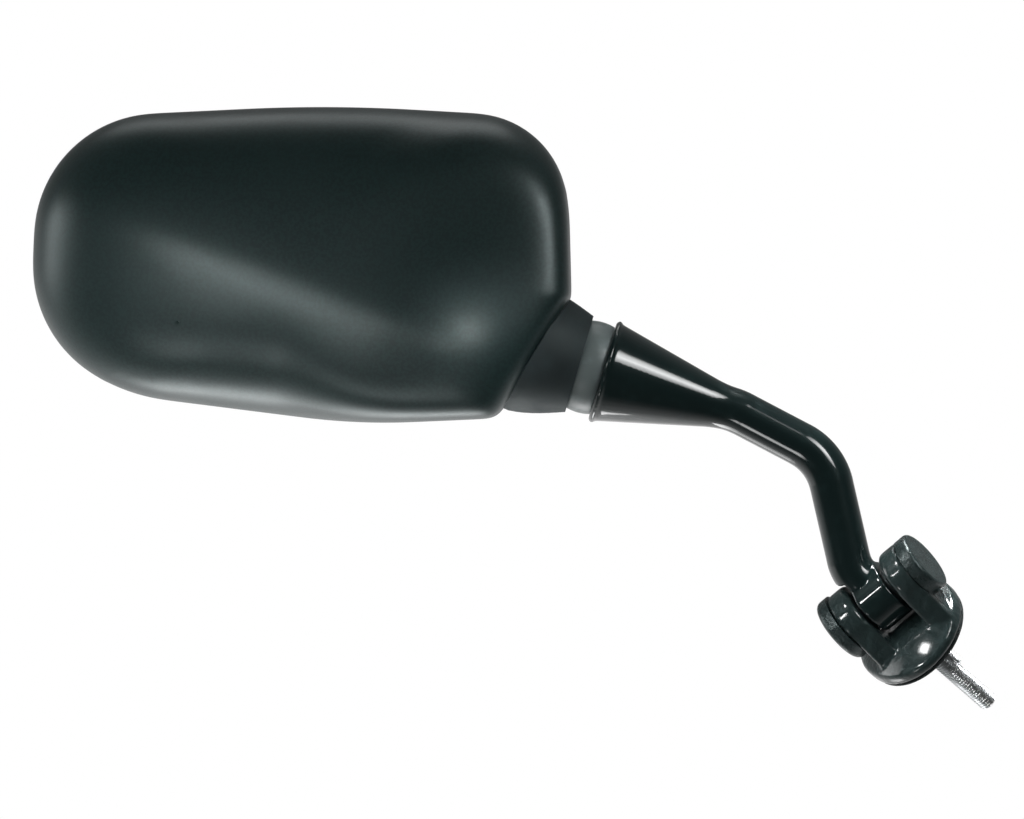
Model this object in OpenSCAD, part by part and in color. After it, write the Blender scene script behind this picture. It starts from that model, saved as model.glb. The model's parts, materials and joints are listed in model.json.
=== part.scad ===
// Fairing mirror for the rider's right-hand side of a motorcycle.
//
// Frame, as the mirror sits on the bike: +Z is up, +X points from the head to the foot,
// and the glass faces +Y, toward the rider. The origin is the centre of the mounting face,
// midway between the two studs.

/* [Head] */
// Width of the head
head_w = 169; // [160:1:180]
// Height of the head
head_h = 99; // [92:1:106]
// Depth of the shell at mid width, from rim to back
shell_depth = 46; // [43:1:52]
// Extra depth for each millimetre toward the neck
shell_lean = 0.08; // [0.04:0.01:0.12]
// Wall of the shell
shell_wall = 2.5; // [2:0.1:3]
// Roundness exponent of the shell's section
shell_round = 3.4; // [3:0.1:4]
// Roundness exponent beside the flat that carries the neck
flat_round = 12; // [10:1:16]
// Slope of the two faces beside the crease in the back
crease_slope = 0.16; // [0.08:0.01:0.24]
// Half width of the soft crease
crease_soft = 6; // [4:1:12]
// Angle at which the crease falls toward the neck
crease_angle = 20.3; // [14:0.1:26]
// Height of the bulge over the ball joint
bulge_h = 4; // [2:0.5:6]
// Spread of the bulge
bulge_spread = 16; // [12:1:20]

/* [Head outline] */
// Corner radius, top outer
top_outer_r = 39; // [34:1:42]
// Bow radius of the top edge
top_bow_r = 500; // [400:10:600]
// Corner radius, top inner
top_inner_r = 30; // [26:1:32]
// Bow radius of the inner edge
side_bow_r = 62; // [50:1:70]
// Corner radius at both ends of the neck flat
flat_corner_r = 6; // [4:0.5:8]
// Height at which the neck flat starts
flat_top = 39.2; // [36:0.2:42]
// Width that the neck flat takes from the head
flat_w = 23.2; // [21:0.2:25]
// Bow radius of the bottom edge
bottom_bow_r = 204; // [160:1:240]
// Corner radius, bottom outer
bottom_outer_r = 56; // [48:1:60]
// Corner radius of the outer end
outer_end_r = 40; // [34:1:42]

/* [Glass] */
// Thickness of the mirror glass
glass_t = 2; // [1.6:0.1:3]
// Depth of the glass face below the rim
glass_sink = 1.2; // [0.8:0.1:2.5]
// Gap round the glass
glass_gap = 0.2; // [0.1:0.05:0.5]
// Thickness of the foam pad
pad_t = 1; // [0.6:0.1:2]
// Margin between the pad and the edge of the glass
pad_margin = 5; // [3:0.5:10]
// Floor thickness of the glass carrier
carrier_t = 2.5; // [2.2:0.1:3.5]
// Wall of the carrier's lip
carrier_lip = 1.6; // [1.2:0.1:2.4]
// Gap between carrier and shell
carrier_gap = 0.4; // [0.3:0.05:0.8]
// Place of the four posts, as a share of the way from the middle to the edge
post_reach = 0.5; // [0.4:0.01:0.52]
// Radius of the posts
post_r = 3.6; // [3:0.1:4]
// Radius of the carrier screws
carrier_screw_r = 1.5; // [1.2:0.1:1.8]
// Length of the carrier screws
carrier_screw_len = 12; // [8:1:16]

/* [Ball joint] */
// Radius of the ball
ball_r = 7; // [6.5:0.1:7.4]
// Wall of the nylon ball seats
seat_t = 1.65; // [1.2:0.05:2]
// Half gap between the two seats
seat_split = 1.6; // [1.5:0.1:2.2]
// Wall of the ball housing
housing_wall = 2.05; // [1.6:0.05:2.2]
// Radius of the housing's flange
flange_r = 16; // [15.5:0.1:16.5]
// Thickness of the housing's flange
flange_t = 3; // [2:0.1:4]
// Thickness of the pressure cup
cup_len = 8; // [6:0.5:9]
// Wire radius of the clamp spring
spring_wire_r = 0.8; // [0.6:0.05:1]
// Turns of the clamp spring
spring_turns = 4; // [3:1:5]
// Thickness of the spring retainer
retainer_t = 2.5; // [2:0.1:4]
// Radius of the circle of housing screws
housing_screw_at = 13.4; // [13.2:0.1:13.6]
// Radius of the housing screws
housing_screw_r = 1.5; // [1.2:0.1:1.6]
// Radius of the ball's neck
ball_neck_r = 3.2; // [2.8:0.1:3.4]
// Radius of the ball stud's thread
ball_thread_r = 4; // [3.5:0.1:4.5]
// Length of the ball stud's thread
ball_thread_len = 13.5; // [10:0.5:16]
// Largest angle that the head can lean at the ball
head_swing = 10.3; // [8:0.1:10.5]

/* [Neck] */
// Distance from the ball's centre to the neck flat of the shell
neck_len = 16.5; // [16:0.1:18]
// Height of the neck's axis above the middle of the flat
neck_up = 2.3; // [1.6:0.1:2.8]
// Radius of the round skirt that the boot's lip slides on
ring_r = 14.6; // [14.4:0.05:14.8]
// Reach of the swivel ring toward the head
ring_reach = 6; // [5:0.1:6.5]
// Radial gap between ring and boot
boot_gap = 0.3; // [0.2:0.05:0.5]
// Distance of the boot's rim from the ball's centre
boot_rim_at = 3.5; // [3.2:0.1:4]
// Thickness of the boot's rim
boot_lip = 1.1; // [0.8:0.1:1.4]
// Wall of the boot
boot_wall = 2; // [1.6:0.1:2.5]
// Radius that the boot grows to at the shell
boot_base_r = 20.2; // [19.6:0.1:21]
// Length over which the boot grows
boot_len = 19.5; // [17:0.5:22]

/* [Arm] */
// Angle at which the neck falls toward the foot
neck_drop = 16.5; // [14:0.5:19]
// Diameter of the arm's tube
tube_d = 13.8; // [13:0.1:14.4]
// Diameter of the cone's big end
cone_d = 31.2; // [30.4:0.1:31.8]
// Height of the lip round the big end
lip_h = 0.8; // [0.3:0.1:1]
// Length of the lip
lip_len = 2.2; // [2:0.1:3]
// Distance from the ball's centre to the cone's face
cone_at = 4; // [3.6:0.1:4.4]
// Distance from the ball's centre to the first bend
neck_run = 47.6; // [44:0.2:52]
// Length of the sloping run
slope_run = 31.2; // [28:0.2:36]
// Angle of the sloping run above the horizontal
slope_angle = 27.7; // [24:0.1:31]
// Length of the upright run
upright_run = 36.8; // [33:0.2:42]
// Lean of the upright run from the vertical
upright_lean = 12.9; // [10:0.1:16]
// Distance from the last bend to the pivot
hub_run = 11.9; // [11.5:0.1:13]
// Angle of the last run above the horizontal
hub_angle = 38; // [34:0.5:42]
// Bend radius where the cone meets the tube
cone_bend_r = 25; // [20:1:30]
// Bend radius of the upper bend
upper_bend_r = 19; // [17:0.5:22]
// Bend radius of the lower bend
lower_bend_r = 12; // [11:0.5:13]

/* [Hinge] */
// Radius of the hub at the arm's foot
hub_r = 9.5; // [9:0.1:9.8]
// Width between the faces of the two bushes
hub_w = 12.4; // [12:0.1:13]
// Thickness of a bush's flange
bush_flange_t = 0.8; // [0.6:0.1:1.2]
// Radius of a bush's flange
bush_flange_r = 7; // [6.6:0.1:7.2]
// Wall of a bush
bush_wall = 1.5; // [1.2:0.1:2]
// Length of a bush's sleeve
bush_len = 4.6; // [3.5:0.1:5]
// Radius of the pivot bolt
bolt_r = 3.95; // [3.4:0.05:4.2]
// Width across flats of bolt head and nut
bolt_flats = 13; // [12:0.5:13.4]
// Height of the bolt's head
bolt_head_h = 4; // [3.5:0.1:4.1]
// Height of the nut
nut_h = 3.2; // [2.8:0.1:3.3]
// Thickness of the wave washer with its waves
washer_h = 0.8; // [0.7:0.05:0.9]

/* [Base] */
// Angle at which the studs fall below the horizontal, seen from the front
stud_drop = 40.7; // [36:0.1:45]
// Angle at which the studs lean toward the rider
stud_rake = 30; // [26:0.5:34]
// Turn of the pivot's axis in the mounting plane
fork_turn = -18; // [-24:0.5:-12]
// Height of the pivot above the mounting face
pivot_h = 20; // [19.5:0.1:21]
// Sideways place of the pivot
pivot_side = 2.2; // [1:0.1:3]
// Radius of the ears
ear_r = 10.2; // [10:0.1:10.6]
// Round of an ear's inner edge
ear_round = 2; // [1.5:0.1:3]
// Thickness of the upper ear
upper_ear_t = 7.5; // [7.5:0.1:9]
// Thickness of the lower ear
lower_ear_t = 7.5; // [7.5:0.1:8.5]
// Metal between an ear's two faces at the bolt
ear_web = 2.5; // [2:0.1:2.6]
// Half width of the fork's foot
fork_foot = 13.5; // [12.5:0.1:14.5]
// Thickness of the upper end cap
upper_cap_t = 4.5; // [3.5:0.1:5.5]
// Thickness of the lower end cap
lower_cap_t = 4.5; // [3.5:0.1:5.5]
// Overhang of the lower end cap past its ear
lower_cap_over = 0.6; // [0.2:0.1:1]
// Width of the oval flange
flange_w = 37; // [35:0.5:39]
// Length of the oval flange, along the line of studs
flange_len = 43; // [41:0.5:46]
// Height of the flange's dome above the mounting face
dome_h = 11; // [10.2:0.1:11.5]
// Radius of the flange's dome
dome_r = 38; // [36:1:44]
// Thickness of the gasket
gasket_t = 1.5; // [1:0.1:2]
// Inset of the gasket from the flange's edge
gasket_inset = 0.5; // [0.2:0.1:1]

/* [Studs] */
// Radius of the studs
stud_r = 3; // [2.5:0.1:3.5]
// Distance between the studs
stud_span = 30; // [28:0.5:32]
// Length of a stud below the mounting face
stud_len = 26; // [20:0.5:30]
// How much thinner a stud's root is inside the base
stud_step = 0.4; // [0.2:0.1:0.8]
// Depth of a stud in the base
stud_depth = 6; // [5:0.1:6.4]
// Turn of the line of studs in the mounting plane
stud_turn = 4; // [0:0.5:8]

/* [Hidden] */
$fn = 96;

// Clearances: a sliding fit, parts that never touch, and parts that rest on each other
running = 0.05;
free_gap = 0.3;
seat_gap = 0.05;
// Longer than any piece is deep, for cuts that go right through
far = 20;

// Base frame: axis_p along the pivot, axis_n out of the mounting face, axis_q square to both
stud_axis = [cos(stud_rake) * cos(stud_drop), sin(stud_rake), -cos(stud_rake) * sin(stud_drop)];
face_up = [sin(stud_drop), 0, cos(stud_drop)];
face_back = cross(face_up, stud_axis);
axis_n = -stud_axis;
axis_p = cos(fork_turn) * face_up + sin(fork_turn) * face_back;
axis_q = cross(axis_n, axis_p);
pivot = pivot_side * face_up + pivot_h * axis_n;
stud_line = cos(stud_turn) * face_back + sin(stud_turn) * face_up;
function in_base(v) = [v * axis_p, v * axis_q, v * axis_n];
pivot_in_base = in_base(pivot);
stud_line_angle = atan2(stud_line * axis_q, stud_line * axis_p);

// Arm route in its own plane, from the pivot up to the ball
function polar(r, a) = [r * cos(a), r * sin(a)];
route_pivot = [pivot.x, pivot.z];
route_low = route_pivot + polar(hub_run, 180 - hub_angle);
route_high = route_low + polar(upright_run, 90 + upright_lean);
route_cone = route_high + polar(slope_run, 180 - slope_angle);
route_ball = route_cone + polar(neck_run, 180 - neck_drop);
ball_centre = [route_ball.x, pivot.y, route_ball.y];
tube_r = tube_d / 2;
cone_r = cone_d / 2;
function bend_reach(a, at, b, r) = r / tan(acos(unit(a - at) * unit(b - at)) / 2);
cone_reach = bend_reach(route_ball, route_cone, route_high, cone_bend_r);
high_reach = bend_reach(route_cone, route_high, route_low, upper_bend_r);
low_reach = bend_reach(route_high, route_low, route_pivot, lower_bend_r);
cone_end_at = neck_run - cone_reach;
// Straight runs are let into the bends by a lap, and are thinner than them by a step
joint_lap = 0.4;
joint_step = 0.03;
// Length over which the cone's side curves into the tube
cone_blend_len = 7;

// Swivel ring, and the ball inside it, never wider than the cone leaves room for
ring_wall = 2.4;
cone_rim = 1;
swing_room = 1;
skirt_r = min(ring_r, cone_r - cone_rim);
ring_bore_r = skirt_r - ring_wall;
ring_spigot_r = skirt_r - ring_wall / 2;
ring_spigot_len = 2;
arm_cup_r = ring_bore_r + 1;
knob_r = min(ball_r, ring_bore_r - swing_room - housing_wall - seat_t - 2 * running);

// Ball joint, measured along the neck from the ball's centre toward the head
seat_r = knob_r + running + seat_t;
socket_r = seat_r + running;
housing_r = socket_r + housing_wall;
housing_bore_r = socket_r + 0.4;
collar_beyond_flat = 9.7;
collar_at = neck_len + collar_beyond_flat;
flange_at = collar_at + flange_t;
collar_r = flange_r + 0.5;
mouth_spare = 1;
mouth_angle = asin(ball_neck_r / seat_r) + head_swing + mouth_spare;
cup_at = 2.5;
cup_hole_r = 3;
spring_at = cup_at + cup_len;
retainer_spigot = 4;
retainer_hole_r = 4;
spring_r = housing_bore_r - spring_wire_r - 0.5;
housing_screw_len = 9.5;
pilot_depth = 5;
screw_head_r = 2.6;
screw_head_h = 1.6;
screw_slot = 0.8;
screw_hole_gap = 0.2;
thread_gap = 0.02;
seat_hole_r = 2;
neck_collar_w = 2.9;
neck_collar_r = ball_thread_r + neck_collar_w;
neck_collar_h = 2.2;
neck_collar_at = arm_cup_r + free_gap;
boot_rim_r = sqrt(pow(skirt_r + boot_gap, 2) - pow(boot_rim_at, 2)) + boot_lip;

// Head outline: corners as [x, y, radius], from the outer bottom corner of the head's box
outline_corners = [
    [1.9, head_h - 3.5, top_outer_r],
    [93, head_h + 0.9, top_bow_r],
    [head_w - 5.8, head_h - 3.1, top_inner_r],
    [head_w - 0.6, head_h - 31.8, side_bow_r],
    [head_w + 0.1, flat_top, flat_corner_r],
    [head_w + 0.1 - flat_w, 1.5, flat_corner_r],
    [102.3, -0.4, bottom_bow_r],
    [31.7, 8.5, bottom_outer_r],
    [-0.9, 25.6, outer_end_r]];
corner_count = len(outline_corners);
flat_first = [outline_corners[4].x, outline_corners[4].y];
flat_last = [outline_corners[5].x, outline_corners[5].y];
flat_mid = (flat_first + flat_last) / 2;
flat_dir = (flat_first - flat_last) / norm(flat_first - flat_last);
flat_angle = atan2(flat_dir.y, flat_dir.x);
head_mid = [head_w / 2, head_h / 2];
bulge_mid = [head_w - 32, 30];
crease_mid = [70, 46.4];

// Head placement: the neck's axis meets the flat at neck_len from the ball
neck_foot = route_ball + polar(neck_len, 180 - neck_drop);
head_at = neck_foot - flat_mid - neck_up * flat_dir;
rim_from_neck = 27;
rim_y = pivot.y + rim_from_neck;
outline_step = 5;
outer_rings = 20;
inner_rings = 10;

// Rounded outline of a ring of corners
function flat(c) = [c.x, c.y];
function unit(v) = v / norm(v);
function before(c, i) = unit(flat(c[(i + len(c) - 1) % len(c)]) - flat(c[i]));
function after(c, i) = unit(flat(c[(i + 1) % len(c)]) - flat(c[i]));
function half_angle(c, i) = acos(before(c, i) * after(c, i)) / 2;
function side_len(c, i) = norm(flat(c[(i + 1) % len(c)]) - flat(c[i]));
function wanted(c, i) = c[i].z / tan(half_angle(c, i));
function share(c, i, j, side) = side * wanted(c, i) / (wanted(c, i) + wanted(c, j));
// Tangent length of corner i, limited where two rounds meet on one side
function tangent(c, i, n) = min(
    wanted(c, i),
    share(c, i, (i + 1) % n, side_len(c, i)),
    share(c, i, (i + n - 1) % n, side_len(c, (i + n - 1) % n)));
function inward(c, i) = unit(before(c, i) + after(c, i));
// The same corners, moved inward by d, none of them ever sharp
least_round = 1;
function inset(c, d) = [for (i = [0:len(c) - 1])
    let (p = flat(c[i]) + inward(c, i) * d / sin(half_angle(c, i)))
    [p.x, p.y, max(least_round, c[i].z - d)]];
function arc_points(c, i, count) =
    let (t = tangent(c, i, len(c)), h = half_angle(c, i), r = t * tan(h),
        mid = flat(c[i]) + inward(c, i) * r / sin(h),
        from = flat(c[i]) + before(c, i) * t - mid,
        turn = 180 - 2 * h)
    [for (k = [0:count - 1]) let (a = -turn * k / count)
        mid + [from.x * cos(a) - from.y * sin(a), from.x * sin(a) + from.y * cos(a)]];
function side_points(c, i, count) =
    let (n = len(c), j = (i + 1) % n,
        a = flat(c[i]) + after(c, i) * tangent(c, i, n),
        b = flat(c[j]) + before(c, j) * tangent(c, j, n))
    [for (k = [0:count - 1]) a + (b - a) * k / count];
function arc_count(c, i) =
    max(2, round(tangent(c, i, len(c)) * tan(half_angle(c, i)) * (180 - 2 * half_angle(c, i))
        * PI / 180 / outline_step));
function side_count(c, i) =
    max(1, round((side_len(c, i) - tangent(c, i, len(c))
        - tangent(c, (i + 1) % len(c), len(c))) / outline_step));
arc_counts = [for (i = [0:corner_count - 1]) arc_count(outline_corners, i)];
side_counts = [for (i = [0:corner_count - 1]) side_count(outline_corners, i)];
function outline(c) = [for (i = [0:len(c) - 1])
    each concat(arc_points(c, i, arc_counts[i]), side_points(c, i, side_counts[i]))];
function head_outline(d) = outline(inset(outline_corners, d));
outline_count = len(outline(outline_corners));

// Depth of the shell's back below the rim plane, at a place in the outline
function crease_off(p) = (p - crease_mid) * [sin(crease_angle), cos(crease_angle)];
function back_depth(p) = shell_depth + shell_lean * (p.x - head_mid.x)
    - crease_slope * (sqrt(pow(crease_off(p), 2) + pow(crease_soft, 2)) - crease_soft)
    + bulge_h * exp(-pow(norm(p - bulge_mid) / bulge_spread, 2) / 2);
// The section is squarer beside the neck flat
flat_half = norm(flat_first - flat_last) / 2;
flat_blend = 62;
function nearness(p) = max(0, 1 - max(0, norm(p - flat_mid) - flat_half) / flat_blend);
function smooth(t) = t * t * (3 - 2 * t);
function section_round(p) = shell_round + (flat_round - shell_round) * smooth(nearness(p));
// Rings are closer together toward the rim
function ring_share(i, count) = 1 - pow(i / count, 1.8);
function section(f, n) = pow(1 - pow(f, n), 1 / n);
function shell_point(p, f, wall) =
    let (q = head_mid + f * (p - head_mid))
    [q.x, q.y, section(f, section_round(q)) * (back_depth(q) - wall)];
function shell_rings(line, wall, first, count) = [for (i = [first:count - 1]) for (p = line)
    shell_point(p, ring_share(i, count), wall)];
function strip(a, b, n) = [for (j = [0:n - 1]) let (k = (j + 1) % n)
    each [[a + j, a + k, b + k], [a + j, b + k, b + j]]];
function fan(a, tip, n) = [for (j = [0:n - 1]) [a + j, a + (j + 1) % n, tip]];
function flip(faces) = [for (f = faces) [f[2], f[1], f[0]]];

// Wall depth at a post, on the way from the middle to outline point i
function post_place(i) = head_mid + post_reach * (head_outline(0)[i] - head_mid);
function post_depth(i) = let (q = post_place(i))
    section(post_reach, section_round(q)) * (back_depth(q) - shell_wall);
function nearest(line, goal) =
    let (d = [for (p = line) norm(p - goal)])
    search(min(d), d)[0];
post_goals = [[0, head_h], [head_w, head_h], [head_w, 0], [0, 0]];
posts = [for (g = post_goals) nearest(head_outline(0), g)];
carrier_inset = shell_wall + carrier_gap;
glass_inset = carrier_inset + carrier_lip + glass_gap;
glass_back = glass_sink + glass_t;
carrier_floor = glass_back + pad_t;
post_top = carrier_floor + carrier_t;
lip_below_rim = 0.8;

// Hinge, measured along the pivot's axis
hub_half = hub_w / 2 - bush_flange_t;
ear_face = hub_w / 2 + free_gap;
upper_ear_end = ear_face + upper_ear_t;
lower_ear_end = ear_face + lower_ear_t;
bush_r = bolt_r + running + bush_wall;
hex_r = bolt_flats / 2 / cos(30);
recess_r = hex_r + 0.5;
cap_spigot_len = 0.7;
cap_spigot_wall = 0.95;
upper_cap_round = 1.2;
lower_cap_round = 2;
cheek_gap = 0.2;
cheek_room = 1.4;
stud_chamfer = 0.7;
gasket_hole_gap = 1.3;

module in_head() {
    translate([head_at.x, rim_y, head_at.y])
        rotate([90, 0, 0])
            children();
}

module on_neck() {
    translate(ball_centre)
        rotate([0, neck_drop - 90, 0])
            children();
}

module in_arm_plane() {
    translate([0, pivot.y, 0])
        rotate([90, 0, 0])
            children();
}

module on_base() {
    multmatrix([
        [axis_p.x, axis_q.x, axis_n.x, 0],
        [axis_p.y, axis_q.y, axis_n.y, 0],
        [axis_p.z, axis_q.z, axis_n.z, 0],
        [0, 0, 0, 1]])
        children();
}

// Local +Z runs along the pivot's axis, toward the upper ear
module on_pivot() {
    on_base()
        translate(pivot_in_base)
            rotate([0, 90, 0])
                children();
}

module at_stud(side) {
    on_base()
        rotate([0, 0, stud_line_angle])
            translate([side * stud_span / 2, 0, 0])
                children();
}

// Ring between two radii, from z = low to z = high
module tube(outer, inner, low, high) {
    translate([0, 0, low])
        difference() {
            cylinder(r = outer, h = high - low);
            translate([0, 0, -1])
                cylinder(r = inner, h = high - low + 2);
        }
}

// Everything on the inner side of the shell's neck flat, moved outward by off
module behind_flat(off) {
    reach = 80;
    in_head()
        translate([flat_mid.x, flat_mid.y, 0])
            rotate([0, 0, flat_angle])
                translate([-reach / 2, -off, -reach / 2])
                    cube([reach, reach, 2 * reach]);
}

// Everything on the outer side of the shell's neck flat, moved outward by off
module before_flat(off) {
    reach = 80;
    in_head()
        translate([flat_mid.x, flat_mid.y, 0])
            rotate([0, 0, flat_angle])
                translate([-reach / 2, -off - reach, -reach / 2])
                    cube([reach, reach, 2 * reach]);
}

module shell_skin() {
    n = outline_count;
    mouth = head_outline(shell_wall);
    outer = shell_rings(head_outline(0), 0, 0, outer_rings);
    // The inside is straight as far as the glass carrier reaches
    inner = concat(
        [for (depth = [0, post_top]) for (p = mouth) [p.x, p.y, depth]],
        shell_rings(mouth, shell_wall, 1, inner_rings));
    outer_tip = [head_mid.x, head_mid.y, back_depth(head_mid)];
    inner_tip = [head_mid.x, head_mid.y, back_depth(head_mid) - shell_wall];
    inner_at = len(outer);
    inner_count = len(inner) / n;
    tips = inner_at + len(inner);
    outer_faces = concat(
        [for (i = [0:outer_rings - 2]) each strip(i * n, (i + 1) * n, n)],
        fan((outer_rings - 1) * n, tips, n));
    inner_faces = concat(
        [for (i = [0:inner_count - 2]) each strip(inner_at + i * n, inner_at + (i + 1) * n, n)],
        fan(inner_at + (inner_count - 1) * n, tips + 1, n));
    polyhedron(
        points = concat(outer, inner, [outer_tip, inner_tip]),
        faces = concat(outer_faces, flip(inner_faces), flip(strip(0, inner_at, n))));
}

module shell() {
    color([0.13, 0.14, 0.14])
        difference() {
            union() {
                in_head()
                    shell_skin();
                // Collar that the ball housing's flange sits on
                intersection() {
                    on_neck()
                        cylinder(r = collar_r, h = collar_at);
                    behind_flat(-shell_wall / 2);
                }
                // Posts that carry the glass carrier
                in_head()
                    for (i = posts)
                        translate([post_place(i).x, post_place(i).y, post_top])
                            cylinder(r = post_r, h = post_depth(i) + shell_wall / 2 - post_top);
            }
            on_neck()
                translate([0, 0, 1])
                    cylinder(r = housing_r + free_gap, h = collar_at + 1);
            on_neck()
                housing_screw_places()
                    translate([0, 0, collar_at - pilot_depth])
                        cylinder(r = housing_screw_r, h = pilot_depth + 1);
            in_head()
                for (i = posts)
                    translate([post_place(i).x, post_place(i).y, post_top - 1])
                        cylinder(r = carrier_screw_r, h = carrier_screw_len + 1);
        }
}

module housing_screw_places() {
    for (a = [60:120:300])
        rotate([0, 0, a])
            translate([housing_screw_at, 0, 0])
                children();
}

// Outside radius of the boot at a distance from the ball's centre
function boot_r(z) =
    boot_rim_r + (boot_base_r - boot_rim_r) * sin(90 * min(1, (z - boot_rim_at) / boot_len));
boot_steps = 8;
// The boot's side from step first, moved inward by wall
function boot_side(first, wall) = [for (k = [first:boot_steps])
    let (z = boot_rim_at + k * boot_len / boot_steps) [boot_r(z) - wall, z]];

module neck_boot() {
    depth = boot_len + 6;
    hollow_r = sqrt(pow(skirt_r, 2) - pow(ring_reach, 2));
    color([0.09, 0.1, 0.1])
        intersection() {
            difference() {
                on_neck()
                    rotate_extrude()
                        polygon(concat(
                            [[0, boot_rim_at], [boot_rim_r, boot_rim_at]],
                            boot_side(1, 0),
                            [[boot_base_r, depth], [0, depth]]));
                // Round inside that slides on the swivel ring
                on_neck()
                    sphere(r = skirt_r + boot_gap);
                // Hollow behind the lip
                intersection() {
                    on_neck()
                        rotate_extrude()
                            polygon(concat(
                                [[0, ring_reach], [hollow_r, ring_reach]],
                                boot_side(3, boot_wall),
                                [[boot_base_r - boot_wall, depth], [0, depth]]));
                    before_flat(boot_wall);
                }
                on_neck()
                    cylinder(r = housing_r + free_gap, h = depth + 1);
            }
            before_flat(seat_gap);
        }
}

module ball_housing() {
    color([0.16, 0.16, 0.17])
        on_neck()
            difference() {
                union() {
                    sphere(r = housing_r);
                    cylinder(r = housing_r, h = flange_at);
                    translate([0, 0, collar_at + seat_gap])
                        cylinder(r = flange_r, h = flange_t - seat_gap);
                }
                sphere(r = socket_r);
                cylinder(r = housing_bore_r, h = flange_at + 1);
                // Mouth that the ball's neck swings in
                translate([0, 0, -housing_r - 1])
                    cylinder(
                        r1 = (housing_r + 1) * tan(mouth_angle),
                        r2 = 0,
                        h = housing_r + 1);
                housing_screw_places()
                    translate([0, 0, collar_at - 1])
                        cylinder(r = housing_screw_r + screw_hole_gap, h = flange_t + 2);
            }
}

module pressure_cup() {
    color([0.55, 0.55, 0.52])
        on_neck()
            difference() {
                translate([0, 0, cup_at])
                    cylinder(r = housing_bore_r - seat_gap, h = cup_len);
                sphere(r = socket_r);
                translate([0, 0, cup_at])
                    cylinder(r = cup_hole_r, h = cup_len + 1);
            }
}

module clamp_spring() {
    steps = 24;
    sides = 8;
    low = spring_at + seat_gap + spring_wire_r;
    high = flange_at - retainer_spigot - seat_gap - spring_wire_r;
    count = spring_turns * steps;
    points = [for (i = [0:count]) for (j = [0:sides - 1])
        let (a = 360 * i / steps, b = 360 * j / sides,
            r = spring_r + spring_wire_r * cos(b),
            ease = smooth(i / count))
        [r * cos(a), r * sin(a), low + (high - low) * ease + spring_wire_r * sin(b)]];
    coil = [for (i = [0:count - 1]) each strip(i * sides, (i + 1) * sides, sides)];
    caps = [for (j = [1:sides - 2]) each [
        [0, j, j + 1],
        [count * sides, count * sides + j + 1, count * sides + j]]];
    color([0.62, 0.62, 0.6])
        on_neck()
            polyhedron(points = points, faces = concat(coil, caps));
}

module spring_retainer() {
    color([0.5, 0.5, 0.5])
        on_neck()
            difference() {
                union() {
                    translate([0, 0, flange_at + seat_gap])
                        cylinder(r = flange_r, h = retainer_t);
                    translate([0, 0, flange_at - retainer_spigot])
                        cylinder(r = housing_bore_r - seat_gap, h = retainer_spigot + 1);
                }
                translate([0, 0, flange_at - retainer_spigot - 1])
                    cylinder(r = retainer_hole_r, h = retainer_spigot + retainer_t + 3);
                housing_screw_places()
                    translate([0, 0, flange_at - retainer_spigot - 1])
                        cylinder(
                            r = housing_screw_r + screw_hole_gap,
                            h = retainer_spigot + retainer_t + 3);
            }
}

// Pan-head screw that points down from its seat at z = 0
module pan_screw(r, length) {
    difference() {
        union() {
            translate([0, 0, -length])
                cylinder(r = r, h = length + 0.5);
            cylinder(r = screw_head_r, h = screw_head_h);
        }
        for (a = [0, 90])
            rotate([0, 0, a])
                translate([-screw_slot / 2, -screw_head_r * 0.6, screw_head_h / 2])
                    cube([screw_slot, screw_head_r * 1.2, screw_head_h]);
    }
}

module housing_screws() {
    color([0.7, 0.7, 0.68])
        on_neck()
            housing_screw_places()
                translate([0, 0, flange_at + retainer_t + 2 * seat_gap])
                    pan_screw(housing_screw_r - thread_gap, housing_screw_len);
}

module head_plate(d, low, high) {
    translate([0, 0, low])
        linear_extrude(height = high - low)
            polygon(head_outline(d));
}

module glass_carrier() {
    color([0.12, 0.12, 0.12])
        in_head()
            difference() {
                head_plate(carrier_inset, lip_below_rim, post_top - seat_gap);
                head_plate(glass_inset - glass_gap, lip_below_rim - 1, carrier_floor);
                for (i = posts)
                    translate([post_place(i).x, post_place(i).y, carrier_floor]) {
                        translate([0, 0, -1])
                            cylinder(r = carrier_screw_r + screw_hole_gap, h = carrier_t + 2);
                        translate([0, 0, -0.01])
                            cylinder(r = screw_head_r + 0.3, h = screw_head_h + 0.1);
                    }
            }
}

module carrier_screws() {
    color([0.7, 0.7, 0.68])
        in_head()
            for (i = posts)
                translate([post_place(i).x, post_place(i).y, carrier_floor + screw_head_h])
                    mirror([0, 0, 1])
                        pan_screw(carrier_screw_r - thread_gap, carrier_screw_len - 2);
}

module glass_pad() {
    color([0.2, 0.2, 0.2])
        in_head()
            head_plate(glass_inset + pad_margin, glass_back + seat_gap, carrier_floor - seat_gap);
}

module mirror_glass() {
    color([0.75, 0.8, 0.82])
        in_head()
            head_plate(glass_inset, glass_sink, glass_back);
}

module inner_ball_seat() {
    color([0.85, 0.84, 0.78])
        on_neck()
            difference() {
                sphere(r = seat_r);
                sphere(r = knob_r + running);
                translate([0, 0, seat_split - far])
                    cube(2 * far, center = true);
                cylinder(r = seat_hole_r, h = far);
            }
}

module outer_ball_seat() {
    color([0.85, 0.84, 0.78])
        on_neck()
            difference() {
                sphere(r = seat_r);
                sphere(r = knob_r + running);
                translate([0, 0, far - seat_split])
                    cube(2 * far, center = true);
                translate([0, 0, -far])
                    cylinder(r = ball_neck_r + free_gap, h = far);
            }
}

module ball_stud() {
    color([0.66, 0.66, 0.66])
        on_neck()
            mirror([0, 0, 1])
                union() {
                    sphere(r = knob_r);
                    cylinder(r = ball_neck_r, h = neck_collar_at);
                    translate([0, 0, neck_collar_at - neck_collar_h])
                        cylinder(r = neck_collar_r, h = neck_collar_h, $fn = 6);
                    translate([0, 0, neck_collar_at - 0.1])
                        cylinder(r = ball_thread_r, h = ball_thread_len);
                }
}

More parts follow.
